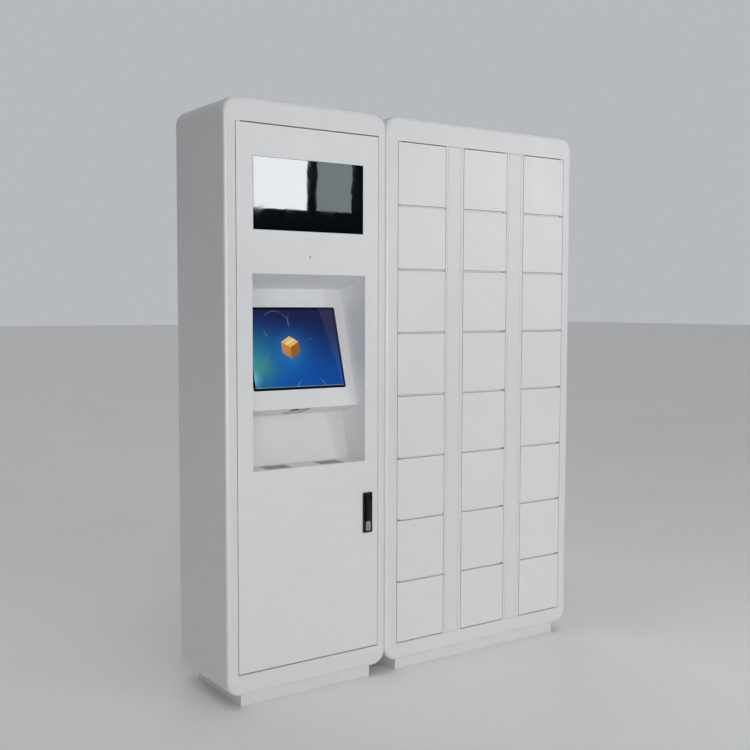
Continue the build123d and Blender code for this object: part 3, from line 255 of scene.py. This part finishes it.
def touch_screen():
    """A lit screen: blue wallpaper with teal glows, light curves, a parcel sign and a foot strip."""
    g = Graph("touch_screen_lit", IOR=1.52, Roughness=0.06, Emission_Strength=0.8)
    across = g.math("DIVIDE", g.along((1, 0, 0), TOUCH_MIDDLE), TOUCH_HALF.x)
    up = g.math("DIVIDE", g.along(PANEL_UP, TOUCH_MIDDLE), TOUCH_HALF.y)

    def distance(x, y):
        """Distance from a point, in half heights of the screen."""
        aside = g.math("MULTIPLY", g.math("SUBTRACT", across, x), TOUCH_HALF.x / TOUCH_HALF.y)
        above = g.math("SUBTRACT", up, y)
        squares = g.math("ADD", g.math("MULTIPLY", aside, aside), g.math("MULTIPLY", above, above))
        return g.math("SQRT", squares)

    def glow(under, colour, share, x, y, radius):
        """A soft round patch of a colour over the picture."""
        near = g.span(distance(x, y), 0.0, radius, 1.0, 0.0)
        soft = g.math("MULTIPLY", g.math("MULTIPLY", near, near), share)
        return g.mix(soft, under, colour)

    diagonal = g.math("ADD", up, g.math("MULTIPLY", across, 0.25))
    picture = g.mix(g.span(diagonal, -0.5, 0.75), (0.004, 0.07, 0.36, 1), (0.010, 0.014, 0.075, 1))
    for colour, share, x, y, radius in (
        ((0.006, 0.15, 0.48, 1), 0.9, -0.1, -0.25, 1.1),
        ((0.04, 0.33, 0.36, 1), 1.0, -0.95, -0.35, 1.25),
        ((0.10, 0.33, 0.12, 1), 0.45, -0.75, -0.45, 0.5),
        ((0.25, 0.85, 1.0, 1), 1.0, -1.02, -0.70, 0.36),
        ((0.06, 0.36, 0.66, 1), 0.45, -0.1, 0.0, 0.6),
    ):
        picture = glow(picture, colour, share, x, y, radius)
    for x, y, radius, strength in (
        (-0.35, 0.55, 0.36, 0.20),
        (0.25, 0.62, 0.42, 0.16),
        (-1.05, 0.1, 0.62, 0.14),
        (0.25, -1.15, 0.45, 0.30),
    ):
        off_line = g.math("ABSOLUTE", g.math("SUBTRACT", distance(x, y), radius))
        line = g.span(off_line, 0.0, 0.012, 1.0, 0.0)
        broken = g.span(g.noise(16.0, 1.0), 0.46, 0.6)
        faint = g.math("MULTIPLY", g.math("MULTIPLY", line, broken), strength)
        picture = g.mix(faint, picture, (0.75, 0.85, 0.95, 1))
    picture = parcel_sign(g, picture, across, up)
    strip = g.math("LESS_THAN", up, -0.925)
    shine = g.mix(g.span(up, -1.0, -0.92), (0.03, 0.09, 0.18, 1), (0.16, 0.32, 0.5, 1))
    picture = g.mix(strip, picture, shine)
    dot = g.span(distance(-0.865, -0.96), 0.02, 0.04, 1.0, 0.0)
    picture = g.mix(dot, picture, (0.85, 0.5, 0.08, 1))
    border_width = 8 * MM
    edge_x = g.math("SUBTRACT", g.math("ABSOLUTE", across), 1.0 - border_width / TOUCH_HALF.x)
    edge_up = g.math("SUBTRACT", g.math("ABSOLUTE", up), 1.0 - border_width / TOUCH_HALF.y)
    border = g.math("GREATER_THAN", g.math("MAXIMUM", edge_x, edge_up), 0.0)
    facing = g.along(PANEL_OUT, TOUCH_MIDDLE)
    on_front = g.math("GREATER_THAN", facing, 1.0 * MM)
    shown = g.math("MULTIPLY", on_front, g.math("SUBTRACT", 1.0, border))
    g.surface("Emission Color", g.mix(shown, (0, 0, 0, 1), picture))
    smears = g.noise(16.0, 5.0, 0.7)
    g.surface("Roughness", g.span(smears, 0.45, 0.8, 0.03, 0.14))
    g.surface("Base Color", g.mix(smears, (0.003, 0.003, 0.004, 1), (0.007, 0.007, 0.009, 1)))
    return g.material


def parcel_sign(g, picture, across, up):
    """A plain carton seen from a corner, in three warm tones with a strip of tape."""
    size, left_of_middle, above_middle = 0.27, 0.1, 0.02
    rise, reach = math.tan(math.radians(30)), math.cos(math.radians(30))
    aside = g.math("MULTIPLY", g.math("ADD", across, left_of_middle), TOUCH_HALF.x / TOUCH_HALF.y)
    x = g.math("DIVIDE", aside, size)
    y = g.math("DIVIDE", g.math("SUBTRACT", up, above_middle), size)
    side = g.math("ABSOLUTE", x)
    slope = g.math("MULTIPLY", side, rise)
    inside = g.math("LESS_THAN", g.math("ADD", g.math("ABSOLUTE", y), slope), 1.0)
    inside = g.math("MULTIPLY", inside, g.math("LESS_THAN", side, reach))
    on_top = g.math("GREATER_THAN", g.math("SUBTRACT", y, slope), 0.0)
    on_right = g.math("GREATER_THAN", x, 0.0)
    walls = g.mix(on_right, (0.72, 0.30, 0.05, 1), (0.42, 0.13, 0.02, 1))
    carton = g.mix(on_top, walls, (0.95, 0.60, 0.16, 1))
    lean = g.math("SUBTRACT", y, g.math("MULTIPLY", x, rise))
    tape = g.math("LESS_THAN", g.math("ABSOLUTE", g.math("SUBTRACT", lean, 0.5)), 0.09)
    carton = g.mix(g.math("MULTIPLY", tape, on_top), carton, (1.0, 0.86, 0.6, 1))
    shade = g.mix(g.span(y, -1.0, 1.0, 0.35, 0.0), carton, (0.25, 0.07, 0.01, 1))
    return g.mix(inside, picture, shade)


FINISHES = {
    "cabinet_paint": powder_coat("cabinet_powder_coat", 0.82),
    "door_paint": powder_coat("door_powder_coat", 0.845),
    "device_plastic": moulded_plastic("black_device_plastic", 0.03, 0.45),
    "zinc_steel": metal("zinc_plated_steel", 0.62, 0.36, (1.0, 1.0, 0.2), spangle=7 * MM),
    "handle_black": die_cast_black(),
    "key_nickel": metal("satin_nickel", 0.50, 0.30, (1.0, 1.0, 0.06)),
    "equipment_case": metal("anodised_case", 0.10, 0.45, (1.0, 1.0, 0.1)),
    "circuit_board": circuit_board(),
    "grommet_rubber": moulded_plastic("black_rubber", 0.018, 0.7),
}
OWN_FINISH = {
    "display_glass": display_black(),
    "touch_glass": touch_screen(),
    "scanner_module": moulded_plastic("pale_scanner_plastic", 0.68, 0.5),
    "card_readers": moulded_plastic("grey_reader_plastic", 0.19, 0.34, cool=0.05),
}


# ---- CAD nodes: finishes, closed seams and rounded edges ----

EDGE_WIDTHS = {
    "service_door_panel": 1.1 * MM,
    "niche_housing": 0.4 * MM,
    "handle_base": 0.9 * MM,
    "handle_lever": 1.6 * MM,
    "lock_spindle": 0.6 * MM,
    "key_cylinder": 0.3 * MM,
    "key_cover": 0.5 * MM,
}


def soften(obj, width):
    """Joins the split edges of an imported node and rounds its sharp ones."""
    weld = obj.modifiers.new("joined_seams", "WELD")
    weld.merge_threshold = 0.01 * MM
    bevel = obj.modifiers.new("rounded_edges", "BEVEL")
    bevel.width = width
    bevel.segments = 2
    bevel.limit_method = "ANGLE"
    bevel.angle_limit = math.radians(35)
    normals = obj.modifiers.new("even_shading", "WEIGHTED_NORMAL")
    normals.weight = 80


for name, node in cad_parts.items():
    slot_name = node.material_slots[0].material.name
    finish = OWN_FINISH.get(name) or FINISHES[slot_name]
    for material_slot in node.material_slots:
        material_slot.material = finish
    soften(node, EDGE_WIDTHS.get(name, 0.8 * MM))


# ---- Small fittings ----

# Lock screws: strikers sit near the free edge of each door, locks behind a sheet steel flange
ROWS = 8
HINGED_ON_LEFT = {1: True, 2: False, 3: False}
STRIKER_INSET = 12 * MM
SHEET = 1.5 * MM
LOCKER_FLANGE_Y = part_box("electric_locks")[0].y - SHEET
LOCK_SCREW_OFFSET = 24 * MM

# The scanner looks down and forwards out of the niche underside
SCANNER_LOW, SCANNER_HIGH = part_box("scanner_module")
SCANNER_MIDDLE = (SCANNER_LOW + SCANNER_HIGH) / 2
SCANNER_OUT = Vector((0, -math.sin(PANEL_TILT), -math.cos(PANEL_TILT)))
SCANNER_BACK = Vector((0, math.cos(PANEL_TILT), -math.sin(PANEL_TILT)))
SCANNER_HALF_HEIGHT = 20 * MM
SIDEWAYS = Vector((1, 0, 0))


def fitting(name, build, material, body):
    """Makes one flat-shaded piece from a bmesh builder and fixes it to a body of the frame."""
    mesh = bpy.data.meshes.new(name)
    piece = bpy.data.objects.new(name, mesh)
    bpy.context.scene.collection.objects.link(piece)
    bm = bmesh.new()
    build(bm)
    bmesh.ops.recalc_face_normals(bm, faces=bm.faces)
    for face in bm.faces:
        face.smooth = False
    bm.to_mesh(mesh)
    bm.free()
    mesh.materials.append(material)
    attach(piece, body)


def pan_head(bm, centre, radius, height):
    """A domed screw head facing -Y with a hexagonal recess."""
    sides = 24
    recess = radius * 0.42
    profile = [
        (radius, 0.0),
        (radius, -height * 0.35),
        (radius * 0.86, -height * 0.8),
        (radius * 0.6, -height),
        (recess, -height),
        (recess, -height * 0.35),
    ]
    rings = []
    for place, (reach, depth) in enumerate(profile):
        corners = []
        for step in range(sides):
            angle = math.tau * step / sides
            hexagon = math.cos(math.pi / 6) / math.cos((angle % (math.pi / 3)) - math.pi / 6)
            far = reach * hexagon if place >= 4 else reach
            x = centre[0] + far * math.cos(angle)
            z = centre[2] + far * math.sin(angle)
            corners.append(bm.verts.new((x, centre[1] + depth, z)))
        rings.append(corners)
    for near, far in zip(rings, rings[1:]):
        for step in range(sides):
            following = (step + 1) % sides
            bm.faces.new((near[step], near[following], far[following], far[step]))
    bm.faces.new(rings[0])
    bm.faces.new(rings[-1])


def lock_screws(bm):
    """One screw above and one below each striker slot hold the lock behind the frame."""
    radius, height = 3.2 * MM, 1.5 * MM
    for column, on_left in HINGED_ON_LEFT.items():
        for row in range(1, ROWS + 1):
            low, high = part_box(f"locker_door_c{column}_r{row}")
            x = high.x - STRIKER_INSET if on_left else low.x + STRIKER_INSET
            middle = (low.z + high.z) / 2
            for side in (-1, 1):
                place = (x, LOCKER_FLANGE_Y, middle + side * LOCK_SCREW_OFFSET)
                pan_head(bm, place, radius, height)


def slab(bm, middle, across, along, out, size, rounding):
    """A plate with bevelled edges, sized across, along and out from its middle."""
    made = bmesh.ops.create_cube(bm, size=1.0)
    turn = Matrix((across, along, out)).transposed().to_4x4()
    scale = Matrix.Diagonal((*size, 1.0))
    bmesh.ops.transform(bm, matrix=Matrix.Translation(middle) @ turn @ scale, verts=made["verts"])
    edges = list({edge for vert in made["verts"] for edge in vert.link_edges})
    bmesh.ops.bevel(bm, geom=edges, offset=rounding, segments=2, affect="EDGES", profile=0.5)


def scanner_window_painted_shadow(bm):
    """The dark window of the scanner, standing on the floor of its pocket against the back wall. Its
    near-black colour is partly painted shadow, put where the pocket's back edge lies in shade.
    """
    below_middle, behind_middle = 11.2 * MM, 31.4 * MM
    size = (58 * MM, 1.6 * MM, 5.6 * MM)
    middle = SCANNER_MIDDLE + SCANNER_OUT * below_middle + SCANNER_BACK * behind_middle
    slab(bm, middle, SIDEWAYS, SCANNER_BACK, SCANNER_OUT, size, 0.3 * MM)


def scanner_seal(bm):
    """A foam seal on the scanner's face, all round the pocket."""
    half_x, half_back, width, thick = 35.2 * MM, 37.7 * MM, 2.4 * MM, 1.1 * MM
    face = SCANNER_MIDDLE + SCANNER_OUT * (SCANNER_HALF_HEIGHT + thick / 2)
    strips = (
        (SIDEWAYS, half_x, (width, 2 * half_back + width, thick)),
        (SCANNER_BACK, half_back, (2 * half_x - width, width, thick)),
    )
    for side in (-1, 1):
        for direction, half, size in strips:
            middle = face + direction * side * half
            slab(bm, middle, SIDEWAYS, SCANNER_BACK, SCANNER_OUT, size, 0.2 * MM)


def keyhole_mark(bm):
    """A raised keyhole outline on the dust cover: a ring with a short tail."""
    low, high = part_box("key_cover")
    centre = Vector(((low.x + high.x) / 2, low.y, (low.z + high.z) / 2 - 2 * MM))
    sides, proud = 32, 0.4 * MM
    outer, inner, tail, half = 3.4 * MM, 2.2 * MM, 7.0 * MM, 1.5 * MM

    def outline(radius, foot, half_width):
        """An arc round the hole, then the two corners at the foot of the tail."""
        start = math.asin(half_width / radius)
        sweep = math.tau - 2 * start
        points = []
        for step in range(sides):
            angle = -math.pi / 2 + start + sweep * step / (sides - 1)
            points.append((radius * math.cos(angle), radius * math.sin(angle)))
        return points + [(-half_width, -foot), (half_width, -foot)]

    loops = [outline(outer, tail, half), outline(inner, tail - 1.2 * MM, half - 0.9 * MM)]
    layers = []
    for depth in (0.0, -proud):
        for points in loops:
            corners = [(centre.x + x, centre.y + depth, centre.z + z) for x, z in points]
            layers.append([bm.verts.new(corner) for corner in corners])
    base_out, base_in, top_out, top_in = layers
    count = len(base_out)
    for a, b in ((base_out, top_out), (top_out, top_in), (top_in, base_in), (base_in, base_out)):
        for step in range(count):
            following = (step + 1) % count
            bm.faces.new((a[step], a[following], b[following], b[step]))


# The scanner window's near-black plastic is partly painted shadow for the back edge of the scanner pocket.
SHADOW_WINDOW_PLASTIC = moulded_plastic("smoked_window_painted_shadow", 0.012, 0.12)
MARK_PAINT = moulded_plastic("keyhole_mark_paint", 0.09, 0.5)
fitting("lock_screws", lock_screws, FINISHES["zinc_steel"], "cabinet")
fitting("scanner_window_painted_shadow", scanner_window_painted_shadow, SHADOW_WINDOW_PLASTIC, "service_door")
fitting("scanner_seal", scanner_seal, FINISHES["grommet_rubber"], "service_door")
fitting("keyhole_mark", keyhole_mark, MARK_PAINT, "key_cover")


# ---- Floor, light and camera ----


def build_floor():
    """A plain pale floor, 120 m across."""
    mesh = bpy.data.meshes.new("floor")
    half = 60.0
    corners = [(-half, -half, 0), (half, -half, 0), (half, half, 0), (-half, half, 0)]
    mesh.from_pydata(corners, [], [(0, 1, 2, 3)])
    floor = bpy.data.objects.new("floor", mesh)
    bpy.context.scene.collection.objects.link(floor)
    g = Graph("pale_floor", IOR=1.45)
    g.surface("Base Color", g.mix(g.noise(0.8, 3.0), grey(0.88, 0.005), grey(0.92, 0.005)))
    g.surface("Roughness", g.span(g.noise(2.0, 3.0), 0.3, 0.7, 0.55, 0.7))
    mesh.materials.append(g.material)


def far_light(name, heading, height, power, colour, spread):
    """Broad even light from far off, left out of reflections so that no hard spot shows in the glass.

    heading turns it from straight in front towards the left, and height raises it, both in degrees.
    """
    light = bpy.data.lights.new(name, "SUN")
    light.energy = power
    light.color = colour
    light.angle = math.radians(spread)
    lamp = bpy.data.objects.new(name, light)
    bpy.context.scene.collection.objects.link(lamp)
    side, up = math.radians(heading), math.radians(height)
    toward = Vector((math.sin(side) * math.cos(up), math.cos(side) * math.cos(up), -math.sin(up)))
    lamp.rotation_euler = toward.to_track_quat("-Z", "Y").to_euler()
    lamp.visible_camera = False
    lamp.visible_glossy = False


def softbox(name, place, aim, size, power, colour, glossy=True, diffuse=True):
    """A soft box turned to its aim; glossy and diffuse say which rays it reaches."""
    light = bpy.data.lights.new(name, "AREA")
    light.shape = "RECTANGLE"
    light.size, light.size_y = size
    light.energy = power
    light.color = colour
    lamp = bpy.data.objects.new(name, light)
    bpy.context.scene.collection.objects.link(lamp)
    lamp.location = place
    lamp.rotation_euler = (Vector(aim) - Vector(place)).to_track_quat("-Z", "Y").to_euler()
    lamp.visible_camera = False
    lamp.visible_glossy = glossy
    lamp.visible_diffuse = diffuse


def build_world():
    """Dim surroundings for light and reflections, and a pale backdrop behind the object."""
    world = bpy.data.worlds.new("studio")
    bpy.context.scene.world = world
    world.use_nodes = True
    nodes, links = world.node_tree.nodes, world.node_tree.links
    surroundings = nodes["Background"]
    surroundings.inputs["Color"].default_value = (0.97, 0.985, 1.0, 1)
    surroundings.inputs["Strength"].default_value = 0.02
    mirrored = nodes.new("ShaderNodeBackground")
    mirrored.inputs["Color"].default_value = (0.03, 0.055, 0.08, 1)
    backdrop = nodes.new("ShaderNodeBackground")
    backdrop.inputs["Color"].default_value = (0.47, 0.49, 0.52, 1)
    path = nodes.new("ShaderNodeLightPath")
    for_glossy = nodes.new("ShaderNodeMixShader")
    for_camera = nodes.new("ShaderNodeMixShader")
    links.new(path.outputs["Is Glossy Ray"], for_glossy.inputs[0])
    links.new(surroundings.outputs[0], for_glossy.inputs[1])
    links.new(mirrored.outputs[0], for_glossy.inputs[2])
    links.new(path.outputs["Is Camera Ray"], for_camera.inputs[0])
    links.new(for_glossy.outputs[0], for_camera.inputs[1])
    links.new(backdrop.outputs[0], for_camera.inputs[2])
    links.new(for_camera.outputs[0], nodes["World Output"].inputs["Surface"])


def build_camera():
    """The view of the photo, from chest height, to the left of the object."""
    place = (-2.14595, -3.00949, 1.26609)
    yaw, pitch, roll = math.radians(34.70), math.radians(-3.83), math.radians(0.142)
    ahead = Vector(
        (math.sin(yaw) * math.cos(pitch), math.cos(yaw) * math.cos(pitch), math.sin(pitch))
    )
    level = Vector((math.cos(yaw), -math.sin(yaw), 0))
    upright = level.cross(ahead)
    right = level * math.cos(roll) + upright * math.sin(roll)
    top = upright * math.cos(roll) - level * math.sin(roll)
    turn = Matrix((right, top, -ahead)).transposed()
    data = bpy.data.cameras.new("camera")
    data.lens = 49.64
    data.sensor_width = 36.0
    camera = bpy.data.objects.new("camera", data)
    bpy.context.scene.collection.objects.link(camera)
    camera.matrix_world = Matrix.Translation(place) @ turn.to_4x4()
    bpy.context.scene.camera = camera


build_floor()
build_world()
build_camera()
far_light("front_light", heading=0.0, height=2.0, power=0.24, colour=(1.0, 0.99, 0.975), spread=30.0)
far_light("left_light", heading=30.0, height=2.0, power=0.86, colour=(1.0, 0.992, 0.97), spread=30.0)
far_light("high_light", heading=5.0, height=38.0, power=0.28, colour=(1.0, 0.99, 0.98), spread=40.0)
far_light("overhead_light", heading=0.0, height=86.0, power=0.86, colour=(0.98, 0.99, 1.0), spread=60.0)
softbox(
    "key_softbox", place=(1.33, -3.58, 2.175), aim=(1.33, 0.0, 2.0), size=(0.56, 0.49),
    power=16.6, colour=(0.93, 0.97, 1.0),
)
softbox(
    "side_softbox", place=(1.835, -3.58, 2.16), aim=(1.845, 0.0, 2.0), size=(0.29, 0.46),
    power=1.8, colour=(0.82, 0.96, 1.0),
)
far_light("rear_light", heading=196.0, height=30.0, power=0.6, colour=(0.98, 0.99, 1.0), spread=50.0)
softbox(
    "top_softbox", place=(0.4, -0.4, 4.2), aim=(0.2, 0.0, 0.0), size=(3.0, 2.4),
    power=6.0, colour=(0.95, 0.98, 1.0),
)
softbox(
    "low_softbox", place=(-0.3, -3.8, 0.55), aim=(0.0, 0.0, 0.7), size=(3.0, 0.8),
    power=9.0, colour=(1.0, 0.985, 0.96), glossy=False,
)
softbox(
    "edge_softbox", place=(-3.8, -2.6, 1.1), aim=(-0.73, 0.0, 1.0), size=(0.7, 2.6),
    power=210.0, colour=(0.95, 0.98, 1.0), diffuse=False,
)
softbox(
    "glow_softbox", place=(3.9, -3.58, 2.4), aim=(0.6, 0.0, 1.8), size=(1.3, 0.9),
    power=26.0, colour=(0.97, 0.99, 1.0), diffuse=False,
)
bpy.context.scene.view_settings.view_transform = "Standard"
